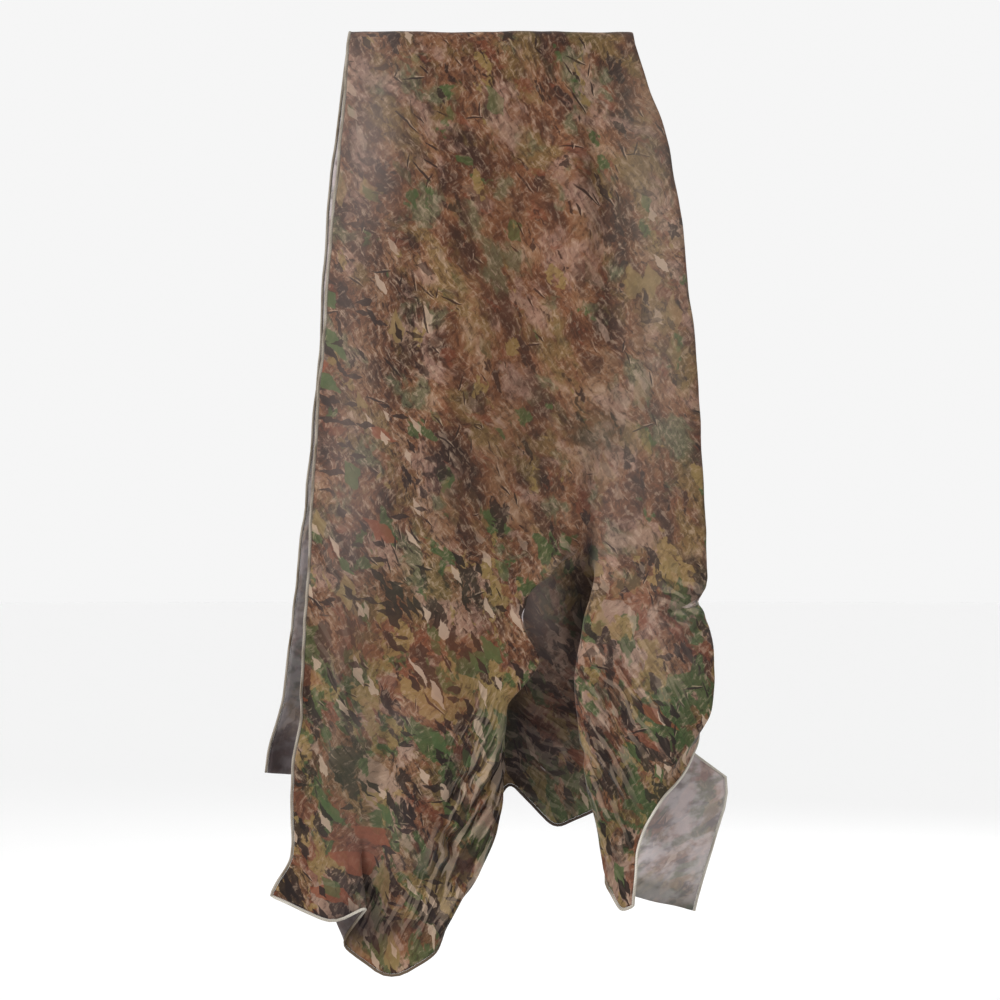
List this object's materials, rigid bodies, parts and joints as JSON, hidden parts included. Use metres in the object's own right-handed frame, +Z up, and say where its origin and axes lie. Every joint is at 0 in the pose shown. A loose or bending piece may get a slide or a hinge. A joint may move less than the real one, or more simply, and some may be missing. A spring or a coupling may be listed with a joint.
{
  "type": "camouflage net",
  "caption": "Draped length of fine printed camouflage mesh, folded over a rail at its middle, with a thread edging along its cut sides.",
  "frame": {"origin": "middle of the top of the rail that the net hangs over, under the inside of the top fold", "axes": "+X along the rail to the right as seen from the front, +Y from the front panel to the back panel, +Z up"},
  "size_m": [0.8088, 0.1663, 1.6314],
  "materials": {
    "printed_mesh": "matt woven mesh with a printed camouflage in brown, olive, green and rust",
    "edging_thread": "matt overlock thread, off-white"
  },
  "bodies": {
    "root": {"net": "printed_mesh", "edging": "edging_thread"}
  },
  "joints": []
}
